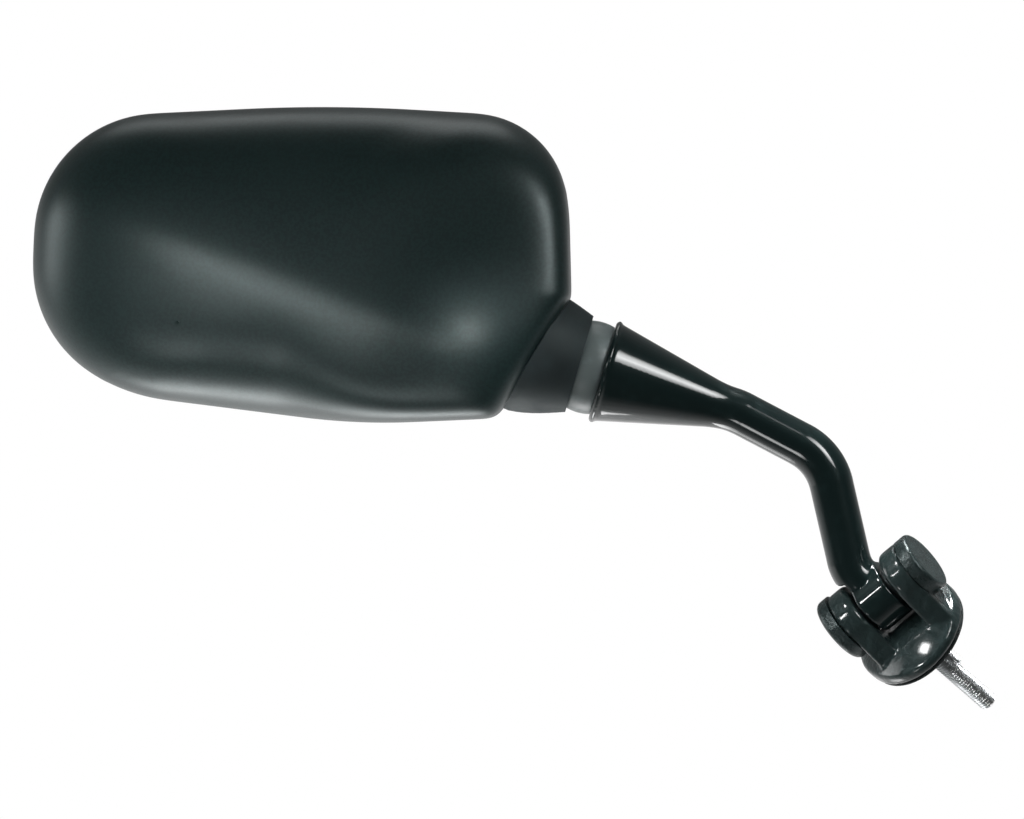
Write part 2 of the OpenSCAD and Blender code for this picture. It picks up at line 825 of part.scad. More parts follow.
module swivel_ring() {
    color([0.2, 0.21, 0.21])
        on_neck()
            difference() {
                intersection() {
                    sphere(r = skirt_r);
                    translate([0, 0, -cone_at - ring_spigot_len])
                        cylinder(r = skirt_r + 1, h = cone_at + ring_spigot_len + ring_reach);
                }
                cylinder(r = ring_bore_r, h = 2 * far, center = true);
                // Step that leaves the spigot in the arm's mouth
                tube(
                    skirt_r + 1,
                    ring_spigot_r,
                    -cone_at - ring_spigot_len - 1,
                    -cone_at + seat_gap);
            }
}

// Straight stretch of the arm's tube, in the arm's plane, let a little into what it meets
module straight(a, b) {
    translate([a.x, a.y, 0])
        rotate([0, 0, atan2(b.y - a.y, b.x - a.x)])
            rotate([0, 90, 0])
                translate([0, 0, -joint_lap])
                    cylinder(r = tube_r - joint_step, h = norm(b - a) + 2 * joint_lap);
}

// Round bend of the arm's tube at a corner, between the points before and after it
module bend(a, at, b, r) {
    u = unit(a - at);
    v = unit(b - at);
    half = acos(u * v) / 2;
    mid = at + unit(u + v) * r / sin(half);
    from = at + u * r / tan(half) - mid;
    side = u.x * v.y - u.y * v.x;
    sweep = (180 - 2 * half) * (side > 0 ? -1 : 1);
    translate([mid.x, mid.y, 0])
        rotate([0, 0, atan2(from.y, from.x) + min(0, sweep)])
            rotate_extrude(angle = abs(sweep))
                translate([r, 0])
                    circle(r = tube_r);
}

module arm_tube() {
    after_cone = route_cone + cone_reach * unit(route_high - route_cone);
    before_high = route_high + high_reach * unit(route_cone - route_high);
    after_high = route_high + high_reach * unit(route_low - route_high);
    before_low = route_low + low_reach * unit(route_high - route_low);
    after_low = route_low + low_reach * unit(route_pivot - route_low);
    in_arm_plane() {
        bend(route_ball, route_cone, route_high, cone_bend_r);
        straight(after_cone, before_high);
        bend(route_cone, route_high, route_low, upper_bend_r);
        straight(after_high, before_low);
        bend(route_high, route_low, route_pivot, lower_bend_r);
        straight(after_low, route_pivot);
    }
}

// Trumpet from the cone's face down to the tube: a straight side, then a curve into the tube
module arm_cone() {
    start = cone_at + lip_len;
    blend = cone_end_at - cone_blend_len;
    bend_at = cone_end_at - 2.5;
    blend_r = cone_r + (tube_r - cone_r) * (blend - start) / (bend_at - start);
    steps = 6;
    lip_r = cone_r + lip_h;
    on_neck()
        mirror([0, 0, 1])
            rotate_extrude()
                polygon(concat(
                    [[0, cone_at], [cone_r, cone_at],
                    [lip_r, cone_at + lip_h],
                    [lip_r, start - lip_h],
                    [cone_r, start]],
                    [for (k = [0:steps]) let (t = k / steps)
                        [blend_r * pow(1 - t, 2) + tube_r * (1 - pow(1 - t, 2)),
                        blend * pow(1 - t, 2) + 2 * bend_at * t * (1 - t) + cone_end_at * t * t]],
                    [[tube_r - joint_step, cone_end_at],
                    [tube_r - joint_step, cone_end_at + joint_lap],
                    [0, cone_end_at + joint_lap]]));
}

module arm() {
    cheek_r = ear_r + cheek_room;
    cheek = hub_half - cheek_gap;
    color([0.05, 0.05, 0.06])
        difference() {
            union() {
                arm_cone();
                difference() {
                    arm_tube();
                    on_pivot() {
                        translate([0, 0, cheek])
                            cylinder(r = cheek_r, h = far);
                        translate([0, 0, -cheek - far])
                            cylinder(r = cheek_r, h = far);
                    }
                }
                on_pivot()
                    translate([0, 0, -hub_half])
                        cylinder(r = hub_r, h = 2 * hub_half);
            }
            on_pivot()
                translate([0, 0, -hub_half - 1])
                    cylinder(r = bush_r + running, h = 2 * hub_half + 2);
            on_neck() {
                sphere(r = arm_cup_r);
                // Seat of the ball stud's collar
                mirror([0, 0, 1])
                    cylinder(r = neck_collar_r + free_gap, h = neck_collar_at);
                mirror([0, 0, 1])
                    cylinder(r = ball_thread_r + running, h = neck_collar_at + ball_thread_len + 1);
                // Mouth that the swivel ring's spigot sits in
                mirror([0, 0, 1])
                    cylinder(r = ring_spigot_r + seat_gap, h = cone_at + ring_spigot_len + seat_gap);
            }
        }
}

module bush() {
    tube(bush_r, bolt_r + running, hub_half - bush_len, hub_half + bush_flange_t);
    tube(bush_flange_r, bush_r - 0.2, hub_half, hub_half + bush_flange_t);
}

module upper_bush() {
    color([0.82, 0.8, 0.7])
        on_pivot()
            bush();
}

module lower_bush() {
    color([0.82, 0.8, 0.7])
        on_pivot()
            mirror([0, 0, 1])
                bush();
}

// Ear of the fork, from its hub face outward, local +Z along the pivot's axis
module ear(thick) {
    steps = 6;
    foot = [fork_foot, -pivot_h + gasket_t + 4];
    inner_r = ear_r * 0.965;
    a = atan2(foot.y, foot.x) + acos(inner_r / norm(foot));
    top = inner_r * [cos(a), sin(a)];
    translate([0, 0, ear_face]) {
        rotate_extrude()
            polygon(concat(
                [[0, thick], [0, 0]],
                [for (k = [0:steps]) let (t = 90 * k / steps)
                    [ear_r - ear_round + ear_round * sin(t), ear_round - ear_round * cos(t)]],
                [[ear_r, thick]]));
        rotate([0, 0, 90])
            linear_extrude(height = thick)
                polygon([foot, top, [-top.x, top.y], [-foot.x, foot.y]]);
    }
}

module flange_oval(d, low, high) {
    a = flange_len / 2 - d;
    b = flange_w / 2 - d;
    on_base()
        rotate([0, 0, stud_line_angle])
            translate([0, 0, low])
                linear_extrude(height = high - low)
                    polygon([for (k = [0:71]) [a * cos(5 * k), b * sin(5 * k)]]);
}

module base() {
    color([0.07, 0.07, 0.08])
        difference() {
            union() {
                intersection() {
                    flange_oval(0, gasket_t, dome_h + 1);
                    on_base()
                        translate([0, 0, dome_h - dome_r])
                            sphere(r = dome_r);
                }
                on_pivot()
                    ear(upper_ear_t);
                on_pivot()
                    mirror([0, 0, 1])
                        ear(lower_ear_t);
            }
            // Trough under the hub
            on_pivot()
                translate([0, 0, -ear_face])
                    cylinder(r = ear_r + free_gap, h = 2 * ear_face);
            on_pivot() {
                translate([0, 0, -lower_ear_end - 1])
                    cylinder(r = bolt_r + running, h = lower_ear_end + upper_ear_end + 2);
                translate([0, 0, ear_face + ear_web])
                    cylinder(r = recess_r, h = upper_ear_t);
                translate([0, 0, -ear_face - ear_web - lower_ear_t])
                    cylinder(r = recess_r, h = lower_ear_t);
            }
            for (side = [-1, 1])
                at_stud(side)
                    cylinder(r = stud_r - stud_step + running, h = stud_depth + 0.1);
        }
}

module base_gasket() {
    color([0.04, 0.04, 0.04])
        difference() {
            flange_oval(gasket_inset, 0, gasket_t - seat_gap);
            for (side = [-1, 1])
                at_stud(side)
                    translate([0, 0, -1])
                        cylinder(r = stud_r + gasket_hole_gap, h = gasket_t + 2);
        }
}

module stud(side) {
    color([0.75, 0.76, 0.78])
        at_stud(side)
            translate([0, 0, -stud_len])
                union() {
                    cylinder(r1 = stud_r - stud_chamfer, r2 = stud_r, h = stud_chamfer);
                    translate([0, 0, stud_chamfer])
                        cylinder(r = stud_r, h = stud_len - stud_chamfer + gasket_t - seat_gap);
                    cylinder(r = stud_r - stud_step, h = stud_len + stud_depth);
                }
}

module front_stud() {
    stud(-1);
}

module rear_stud() {
    stud(1);
}

module pivot_bolt() {
    head_at = ear_face + ear_web + seat_gap;
    tail = ear_face + ear_web + washer_h + nut_h;
    color([0.6, 0.6, 0.6])
        on_pivot()
            union() {
                translate([0, 0, -tail])
                    cylinder(r = bolt_r, h = tail + head_at + 1);
                translate([0, 0, head_at])
                    cylinder(r = hex_r, h = bolt_head_h, $fn = 6);
            }
}

module pivot_nut() {
    top = -ear_face - ear_web - washer_h - 2 * seat_gap;
    color([0.6, 0.6, 0.6])
        on_pivot()
            translate([0, 0, top - nut_h])
                difference() {
                    cylinder(r = hex_r, h = nut_h, $fn = 6);
                    translate([0, 0, -1])
                        cylinder(r = bolt_r + running, h = nut_h + 2);
                }
}

// Spring washer with three waves
module wave_washer() {
    steps = 48;
    thick = 0.4;
    swing = (washer_h - thick) / 2;
    mid = -ear_face - ear_web - seat_gap - washer_h / 2;
    radii = [bolt_r + free_gap, bolt_flats / 2 - 0.3];
    section = [
        [radii[0], -thick / 2],
        [radii[1], -thick / 2],
        [radii[1], thick / 2],
        [radii[0], thick / 2]];
    points = [for (i = [0:steps - 1]) for (s = section)
        let (a = 360 * i / steps)
        [s.x * cos(a), s.x * sin(a), mid + s.y + swing * cos(3 * a)]];
    faces = [for (i = [0:steps - 1]) let (j = (i + 1) % steps)
        for (k = [0:3]) let (m = (k + 1) % 4)
        each [[4 * i + k, 4 * j + k, 4 * j + m], [4 * i + k, 4 * j + m, 4 * i + m]]];
    color([0.66, 0.66, 0.64])
        on_pivot()
            polyhedron(points = points, faces = flip(faces));
}

// Push-in cap with a rounded outer edge
module end_cap(r, thick, round_r) {
    steps = 6;
    rotate_extrude()
        polygon(concat(
            [[0, 0], [r, 0]],
            [for (k = [0:steps]) let (t = 90 * k / steps)
                [r - round_r + round_r * cos(t), thick - round_r + round_r * sin(t)]],
            [[0, thick]]));
    tube(recess_r - seat_gap, recess_r - seat_gap - cap_spigot_wall, -cap_spigot_len, 0.5);
}

module upper_end_cap() {
    color([0.1, 0.1, 0.11])
        on_pivot()
            translate([0, 0, upper_ear_end + seat_gap])
                end_cap(ear_r, upper_cap_t, upper_cap_round);
}

module lower_end_cap() {
    color([0.1, 0.1, 0.11])
        on_pivot()
            mirror([0, 0, 1])
                translate([0, 0, lower_ear_end + seat_gap])
                    end_cap(ear_r + lower_cap_over, lower_cap_t, lower_cap_round);
}

shell();
neck_boot();
ball_housing();
housing_screws();
pressure_cup();
clamp_spring();
spring_retainer();
glass_carrier();
carrier_screws();
glass_pad();
mirror_glass();
inner_ball_seat();
outer_ball_seat();
arm();
swivel_ring();
ball_stud();
upper_bush();
lower_bush();
base();
base_gasket();
front_stud();
rear_stud();
pivot_bolt();
pivot_nut();
wave_washer();
upper_end_cap();
lower_end_cap();
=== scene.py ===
"""Scene of a fairing mirror for the rider's right-hand side of a motorcycle.

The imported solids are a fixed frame: +X runs from the head to the foot, +Z is up and the glass
faces +Y. Each sub-assembly below rebuilds its outer pieces at their packed place with rounded
edges, threads and fine surfaces, gives every piece its finish, and rides it on its body.
"""

import json
import logging
import math
from dataclasses import dataclass, field
from enum import Enum

import bmesh
import bpy
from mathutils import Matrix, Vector

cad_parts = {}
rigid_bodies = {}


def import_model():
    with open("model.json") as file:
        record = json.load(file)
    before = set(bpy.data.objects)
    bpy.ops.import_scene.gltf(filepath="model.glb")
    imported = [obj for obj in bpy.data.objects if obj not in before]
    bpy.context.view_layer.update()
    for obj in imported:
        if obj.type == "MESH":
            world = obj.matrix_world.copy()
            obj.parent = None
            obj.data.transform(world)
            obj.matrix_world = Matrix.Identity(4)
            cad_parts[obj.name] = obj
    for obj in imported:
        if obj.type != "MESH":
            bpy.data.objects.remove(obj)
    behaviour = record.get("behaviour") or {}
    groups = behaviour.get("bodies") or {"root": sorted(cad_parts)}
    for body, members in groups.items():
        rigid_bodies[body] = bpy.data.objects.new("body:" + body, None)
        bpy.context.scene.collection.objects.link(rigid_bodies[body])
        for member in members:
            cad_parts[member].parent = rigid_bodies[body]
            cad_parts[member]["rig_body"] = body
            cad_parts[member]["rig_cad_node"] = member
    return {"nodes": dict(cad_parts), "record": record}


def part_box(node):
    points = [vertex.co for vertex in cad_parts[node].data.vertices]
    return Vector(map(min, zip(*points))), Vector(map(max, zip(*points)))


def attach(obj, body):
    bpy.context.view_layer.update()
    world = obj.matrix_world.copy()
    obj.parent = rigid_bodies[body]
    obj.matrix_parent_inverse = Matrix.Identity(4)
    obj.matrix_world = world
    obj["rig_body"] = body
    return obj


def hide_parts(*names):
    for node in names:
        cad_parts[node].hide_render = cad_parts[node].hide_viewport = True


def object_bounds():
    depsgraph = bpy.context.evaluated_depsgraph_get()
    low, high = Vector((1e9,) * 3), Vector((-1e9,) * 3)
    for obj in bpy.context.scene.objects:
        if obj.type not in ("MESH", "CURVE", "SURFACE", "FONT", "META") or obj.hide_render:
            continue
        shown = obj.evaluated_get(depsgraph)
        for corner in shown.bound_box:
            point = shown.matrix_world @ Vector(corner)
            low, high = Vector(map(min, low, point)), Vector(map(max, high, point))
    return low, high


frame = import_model()
CAD_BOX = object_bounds()

log = logging.getLogger("fairing_mirror")
MM = 0.001
# How loose triangles are merged: a distance in metres and two angles in radians
WELD = 0.001 * MM
QUAD_TURN = 0.7
QUAD_SKEW = 1.2
EDGE_SEGMENTS = 3

Colour = tuple[float, float, float]
WHITE: Colour = (1.0, 1.0, 1.0)


class Smoothing(Enum):
    """How far two faces may turn and still be shaded as one surface, in degrees."""

    CAST = 50
    MOULDED = 35
    MACHINED = 25


class Wire:
    """A value that runs through a material. Arithmetic on it adds Math nodes."""

    def __init__(self, recipe: "Recipe", socket: bpy.types.NodeSocket) -> None:
        """Wrap one output socket of a recipe's node."""
        self.recipe = recipe
        self.socket = socket

    def _math(self, operation: str, *values: "Wire | float") -> "Wire":
        """Add one Math node on these values."""
        sockets = dict(enumerate(values))
        return self.recipe.node("ShaderNodeMath", {"operation": operation}, sockets)

    def __add__(self, other: "Wire | float") -> "Wire":
        """Sum of two values."""
        return self._math("ADD", self, other)

    def __sub__(self, other: "Wire | float") -> "Wire":
        """This value less another."""
        return self._math("SUBTRACT", self, other)

    def __rsub__(self, other: float) -> "Wire":
        """A number less this value."""
        return self._math("SUBTRACT", other, self)

    def __mul__(self, other: "Wire | float") -> "Wire":
        """Product of two values."""
        return self._math("MULTIPLY", self, other)

    __radd__ = __add__
    __rmul__ = __mul__

    def above(self, low: float, high: float) -> "Wire":
        """Smooth step of this value.

        Args:
            low: Value up to which the result is 0.
            high: Value from which the result is 1.

        Returns:
            A value from 0 to 1.
        """
        settings = {"interpolation_type": "SMOOTHSTEP"}
        sockets = {"Value": self, "From Min": low, "From Max": high}
        return self.recipe.node("ShaderNodeMapRange", settings, sockets)

    def larger(self, other: "Wire | float") -> "Wire":
        """The larger of two values."""
        return self._math("MAXIMUM", self, other)

    def swing(self, reach: float) -> "Wire":
        """A value from 0 to 1 turned into a swing of this width round 0."""
        return (self - 0.5) * reach


class Recipe:
    """Node tree of one material or of the world."""

    def __init__(self, tree: bpy.types.NodeTree) -> None:
        """Start from an emptied node tree."""
        self.tree = tree
        tree.nodes.clear()

    def node(
        self,
        kind: str,
        settings: dict[str, object] | None = None,
        sockets: dict[str | int, object] | None = None,
        output: str | int = 0,
    ) -> Wire:
        """Add any node.

        Args:
            kind: Blender's name for the node's type.
            settings: Properties that are set first.
            sockets: Values or wires for the inputs, by name or number.
            output: Output that the returned wire starts from.

        Returns:
            Wire from the chosen output.
        """
        made = self.tree.nodes.new(kind)
        for key, value in (settings or {}).items():
            setattr(made, key, value)
        for key, value in (sockets or {}).items():
            self._feed(made.inputs[key], value)
        return Wire(self, made.outputs[output])

    def _feed(self, socket: bpy.types.NodeSocket, value: object) -> None:
        """Link a wire to a socket, or set the socket to a plain value.

        Args:
            socket: The input socket.
            value: A wire, a colour or a plain value.
        """
        if isinstance(value, Wire):
            self.tree.links.new(value.socket, socket)
        elif isinstance(value, tuple) and socket.type == "RGBA":
            socket.default_value = (*value, 1.0)
        else:
            socket.default_value = value

    def place(self) -> Wire:
        """Object coordinates, in metres."""
        return self.node("ShaderNodeTexCoord", output="Object")

    def ray(self, kind: str) -> Wire:
        """1 for rays of this kind: Camera, Glossy or Transmission."""
        return self.node("ShaderNodeLightPath", output=f"Is {kind} Ray")

    def part(self, vector: Wire, axis: str) -> Wire:
        """One part of a vector: X, Y or Z."""
        return self.node("ShaderNodeSeparateXYZ", None, {0: vector}, output=axis)

    def noise(self, cell: float, detail: float = 2.0) -> Wire:
        """Soft noise around 0.5.

        Args:
            cell: Size of its lumps in metres.
            detail: Octaves of finer noise.

        Returns:
            A value from 0 to 1.
        """
        sockets = {"Vector": self.place(), "Scale": 1.0 / cell, "Detail": detail}
        return self.node("ShaderNodeTexNoise", None, sockets)

    def blend(self, share: Wire, first: object, second: object) -> Wire:
        """Mix two colours, the second by the given share."""
        sockets = {0: share, 6: first, 7: second}
        return self.node("ShaderNodeMix", {"data_type": "RGBA"}, sockets, output=2)

    def bump(self, height: Wire, depth: float, base: Wire | None = None) -> Wire:
        """Normal of a surface raised by a height from 0 to 1.

        Args:
            height: The height.
            depth: How far 1 is above 0, in metres.
            base: Normal of a coarser bump below it.

        Returns:
            The normal.
        """
        sockets: dict[str | int, object] = {"Strength": 1.0, "Distance": depth, "Height": height}
        if base is not None:
            sockets["Normal"] = base
        return self.node("ShaderNodeBump", None, sockets)

    def surface(self, sockets: dict[str | int, object]) -> None:
        """End the tree in a Principled shader with these sockets."""
        shader = self.node("ShaderNodeBsdfPrincipled", None, sockets)
        self.end("ShaderNodeOutputMaterial", shader)

    def end(self, kind: str, shader: Wire) -> None:
        """Add the output node, which has no outputs of its own."""
        made = self.tree.nodes.new(kind)
        self.tree.links.new(shader.socket, made.inputs["Surface"])


@dataclass(frozen=True)
class Finish:
    """Finish of a surface: what all kinds share.

    In the kinds below a tint is a factor on the colour, a share says how far a tint shows,
    dulling is added roughness, and gloss_swing is how far the grain varies the roughness.
    """

    name: str
    colour: Colour
    roughness: float
    specular_tint: Colour = (0.86, 1.0, 1.0)

    def material(self) -> bpy.types.Material:
        """Make the material that carries this finish.

        Returns:
            The material, with its node tree filled.
        """
        material = bpy.data.materials.new(self.name)
        material.use_nodes = True
        recipe = Recipe(material.node_tree)
        sockets: dict[str | int, object] = {
            "Base Color": self.colour,
            "Roughness": self.roughness,
            "Specular Tint": self.specular_tint,
        }
        sockets.update(self.sockets(recipe))
        recipe.surface(sockets)
        return material

    def sockets(self, recipe: Recipe) -> dict[str | int, object]:
        """Shader sockets that this kind of finish adds or varies.

        Args:
            recipe: The material's node tree.

        Returns:
            Values or wires by the name of the shader's socket.
        """
        raise NotImplementedError

    def lighter(self, factor: float) -> Colour:
        """The finish's colour, made lighter or darker by a factor."""
        return tuple(min(1.0, part * factor) for part in self.colour)


@dataclass(frozen=True)
class GrainedPlastic(Finish):
    """Moulded plastic with a spark-eroded grain."""

    grain: float = 0.45 * MM
    depth: float = 0.03 * MM
    mottle: float = 30 * MM
    speck_size: float = 2.2
    speck_tints: tuple[float, float] = (0.8, 1.25)
    cloud_tint: float = 1.3
    cloud_share: float = 0.35
    cloud_swing: float = 0.05
    gloss_swing: float = 0.25

    def sockets(self, recipe: Recipe) -> dict[str | int, object]:
        """Grain in the bump and the roughness, and slow clouds in the colour.

        Args:
            recipe: The material's node tree.

        Returns:
            Values or wires by the name of the shader's socket.
        """
        grain = recipe.noise(self.grain, 3.0)
        cloud = recipe.noise(self.mottle).above(0.3, 0.7)
        speck = recipe.noise(self.grain * self.speck_size, 1.0).above(0.35, 0.65)
        worn = recipe.blend(speck, *map(self.lighter, self.speck_tints))
        share = cloud * self.cloud_share
        swing = grain.swing(self.gloss_swing) + cloud.swing(self.cloud_swing)
        return {
            "Base Color": recipe.blend(share, worn, self.lighter(self.cloud_tint)),
            "Roughness": self.roughness + swing,
            "Normal": recipe.bump(grain, self.depth),
        }


@dataclass(frozen=True)
class MouldedRubber(Finish):
    """Matt rubber with a faint bloom and a soft uneven skin."""

    grain: float = 0.3 * MM
    depth: float = 0.015 * MM
    wave: float = 3.6 * MM
    wave_depth: float = 0.06 * MM
    bloom: float = 9 * MM
    bloom_tint: float = 1.6
    bloom_dulling: float = 0.12
    gloss_swing: float = 0.15

    def sockets(self, recipe: Recipe) -> dict[str | int, object]:
        """Bloom in the colour, grain in the bump.

        Args:
            recipe: The material's node tree.

        Returns:
            Values or wires by the name of the shader's socket.
        """
        grain = recipe.noise(self.grain)
        bloom = recipe.noise(self.bloom, 4.0).above(0.4, 0.75)
        soft = recipe.bump(recipe.noise(self.wave, 1.0), self.wave_depth)
        dulling = bloom * self.bloom_dulling + grain.swing(self.gloss_swing)
        return {
            "Base Color": recipe.blend(bloom, self.colour, self.lighter(self.bloom_tint)),
            "Roughness": self.roughness + dulling,
            "Normal": recipe.bump(grain, self.depth, soft),
        }


@dataclass(frozen=True)
class CastPaint(Finish):
    """Black paint on a casting: colour, gloss coat, orange peel and the metal's own unevenness."""

    coat: float = 0.6
    coat_roughness: float = 0.08
    peel: float = 1.1 * MM
    peel_depth: float = 0.004 * MM
    cast_grain: float = 0.5 * MM
    cast_depth: float = 0.0
    undercoat_specular: float = 0.12
    dust: float = 6 * MM
    dust_tint: float = 1.8
    dust_share: float = 0.6
    dust_dulling: float = 0.1
    coat_thinning: float = 0.15

    def sockets(self, recipe: Recipe) -> dict[str | int, object]:
        """Orange peel and cast grain in the bump, thin spots in the coat.

        Args:
            recipe: The material's node tree.

        Returns:
            Values or wires by the name of the shader's socket.
        """
        peel = recipe.noise(self.peel, 1.0)
        dust = recipe.noise(self.dust, 5.0).above(0.5, 0.8)
        share = dust * self.dust_share
        normal = recipe.bump(peel, self.peel_depth)
        if self.cast_depth > 0:
            normal = recipe.bump(recipe.noise(self.cast_grain, 3.0), self.cast_depth, normal)
        return {
            "Base Color": recipe.blend(share, self.colour, self.lighter(self.dust_tint)),
            "Roughness": self.roughness + dust * self.dust_dulling,
            "Specular IOR Level": self.undercoat_specular,
            "Coat Weight": self.coat - dust * self.coat_thinning,
            "Coat Roughness": self.coat_roughness,
            "Normal": normal,
        }


@dataclass(frozen=True)
class PlatedSteel(Finish):
    """Bright plated or plain steel with fine turning marks and cloudy patches."""

    mark: float = 0.25 * MM
    depth: float = 0.004 * MM
    patch: float = 3 * MM
    patch_tint: float = 0.7
    patch_share: float = 0.5
    patch_dulling: float = 0.12
    gloss_swing: float = 0.1

    def sockets(self, recipe: Recipe) -> dict[str | int, object]:
        """Turning marks in the bump and clouds in colour and roughness.

        Args:
            recipe: The material's node tree.

        Returns:
            Values or wires by the name of the shader's socket.
        """
        marks = recipe.noise(self.mark)
        patch = recipe.noise(self.patch, 4.0).above(0.35, 0.75)
        share = patch * self.patch_share
        dulling = patch * self.patch_dulling + marks.swing(self.gloss_swing)
        return {
            "Base Color": recipe.blend(share, self.colour, self.lighter(self.patch_tint)),
            "Metallic": 1.0,
            "Roughness": self.roughness + dulling,
            "Normal": recipe.bump(marks, self.depth),
            "Specular Tint": WHITE,
        }


@dataclass(frozen=True)
class Nylon(Finish):
    """Plain moulded nylon, slightly waxy."""

    grain: float = 0.4 * MM
    depth: float = 0.01 * MM
    cloud: float = 4 * MM
    cloud_tints: tuple[float, float] = (0.9, 1.05)
    gloss_swing: float = 0.15

    def sockets(self, recipe: Recipe) -> dict[str | int, object]:
        """Faint clouds and moulding grain.

        Args:
            recipe: The material's node tree.

        Returns:
            Values or wires by the name of the shader's socket.
        """
        cloud = recipe.noise(self.cloud, 3.0)
        return {
            "Base Color": recipe.blend(cloud, *map(self.lighter, self.cloud_tints)),
            "Roughness": self.roughness + cloud.swing(self.gloss_swing),
            "Normal": recipe.bump(recipe.noise(self.grain), self.depth),
        }


@dataclass(frozen=True)
class Foam(Finish):
    """Closed-cell foam."""

    cell: float = 0.5 * MM
    depth: float = 0.1 * MM
    cell_tints: tuple[float, float] = (1.3, 0.6)

    def sockets(self, recipe: Recipe) -> dict[str | int, object]:
        """Cells in the bump and the colour.

        Args:
            recipe: The material's node tree.

        Returns:
            Values or wires by the name of the shader's socket.
        """
        sockets = {"Vector": recipe.place(), "Scale": 1.0 / self.cell}
        cells = recipe.node("ShaderNodeTexVoronoi", None, sockets)
        return {
            "Base Color": recipe.blend(cells, *map(self.lighter, self.cell_tints)),
            "Normal": recipe.bump(1.0 - cells, self.depth),
        }


@dataclass(frozen=True)
class SilveredGlass(Finish):
    """Silver behind clear glass, with a very faint haze."""

    haze: float = 25 * MM
    haze_tint: float = 0.93
    haze_share: float = 0.4
    haze_dulling: float = 0.03

    def sockets(self, recipe: Recipe) -> dict[str | int, object]:
        """Haze in the roughness and the colour.

        Args:
            recipe: The material's node tree.

        Returns:
            Values or wires by the name of the shader's socket.
        """
        haze = recipe.noise(self.haze, 5.0).above(0.45, 0.8)
        share = haze * self.haze_share
        return {
            "Base Color": recipe.blend(share, self.colour, self.lighter(self.haze_tint)),
            "Metallic": 1.0,
            "Roughness": self.roughness + haze * self.haze_dulling,
            "Specular Tint": WHITE,
        }


FINISHES: dict[str, Finish] = {
    "shell_plastic": GrainedPlastic(
        "grained_shell", (0.011, 0.023, 0.023), 0.38, depth=0.012 * MM
    ),
    "boot_rubber": MouldedRubber("boot_rubber", (0.014, 0.02, 0.022), 0.6),
    "housing_plastic": GrainedPlastic("filled_nylon", (0.03, 0.034, 0.034), 0.5, depth=0.01 * MM),
    "zinc_steel": PlatedSteel("zinc_plate", (0.7, 0.72, 0.73), 0.3, depth=0.002 * MM),
    "nylon": Nylon("filled_black_nylon", (0.02, 0.023, 0.023), 0.45),
    "spring_steel": PlatedSteel("oiled_spring_steel", (0.36, 0.36, 0.38), 0.35),
    "carrier_plastic": GrainedPlastic("carrier_plastic", (0.02, 0.024, 0.024), 0.5),
    "foam": Foam("foam_pad", (0.05, 0.05, 0.05), 0.9),
    "mirror_glass": SilveredGlass("silvered_glass", (0.86, 0.88, 0.89), 0.015),
    "gloss_black_casting": CastPaint(
        "gloss_black_paint", (0.006, 0.014, 0.014), 0.3, coat=0.95, coat_roughness=0.04
    ),
    "satin_black_ring": CastPaint(
        "satin_black", (0.125, 0.155, 0.155), 0.45, coat=0.7, coat_roughness=0.38
    ),
    "black_casting": CastPaint(
        "semi_gloss_black_paint",
        (0.022, 0.036, 0.036),
        0.36,
        coat=0.95,
        coat_roughness=0.12,
        cast_grain=2.5 * MM,
        cast_depth=0.8 * MM,
    ),
    "gasket_rubber": MouldedRubber("gasket_rubber", (0.008, 0.01, 0.01), 0.8),
    "cap_plastic": GrainedPlastic(
        "rough_cap", (0.02, 0.03, 0.03), 0.3, grain=0.9 * MM, depth=0.16 * MM
    ),
}


def pick(*pieces: bpy.types.Object) -> None:
    """Select only these pieces and make the last one active.

    Args:
        *pieces: The pieces.
    """
    bpy.ops.object.select_all(action="DESELECT")
    for piece in pieces:
        piece.select_set(True)
    bpy.context.view_layer.objects.active = pieces[-1]


def modify(piece: bpy.types.Object, kind: str, **settings: object) -> None:
    """Add one modifier to a piece, set it and apply it.

    Args:
        piece: The piece.
        kind: Blender's name for the modifier's type.
        **settings: The modifier's properties.
    """
    pick(piece)
    bpy.ops.object.modifier_add(type=kind)
    modifier = piece.modifiers[-1]
    for key, value in settings.items():
        setattr(modifier, key, value)
    bpy.ops.object.modifier_apply(modifier=modifier.name)


def new_piece(name: str) -> bpy.types.Object:
    """Name the object that an operator has just added, and its mesh.

    Args:
        name: The name.

    Returns:
        The object.
    """
    piece = bpy.context.active_object
    piece.name = name
    piece.data.name = name
    return piece


def settle(piece: bpy.types.Object, place: Vector, axis: Vector) -> None:
    """Turn a piece's local Z to an axis, move it to a place and leave it untransformed.

    Args:
        piece: The piece, made at the origin.
        place: Where its origin goes.
        axis: Where its local Z points.
    """
    piece.rotation_mode = "QUATERNION"
    piece.rotation_quaternion = axis.to_track_quat("Z", "Y")
    piece.location = place
    pick(piece)
    bpy.ops.object.transform_apply(location=True, rotation=True, scale=True)


def smooth(piece: bpy.types.Object, smoothing: Smoothing) -> None:
    """Shade a piece smooth up to an angle between its faces, with its flat faces left flat.

    Args:
        piece: The piece.
        smoothing: The angle, by the way the piece is made.
    """
    pick(piece)
    bpy.ops.object.shade_smooth_by_angle(angle=math.radians(smoothing.value))
    modify(piece, "WEIGHTED_NORMAL", mode="FACE_AREA", weight=100, keep_sharp=True)


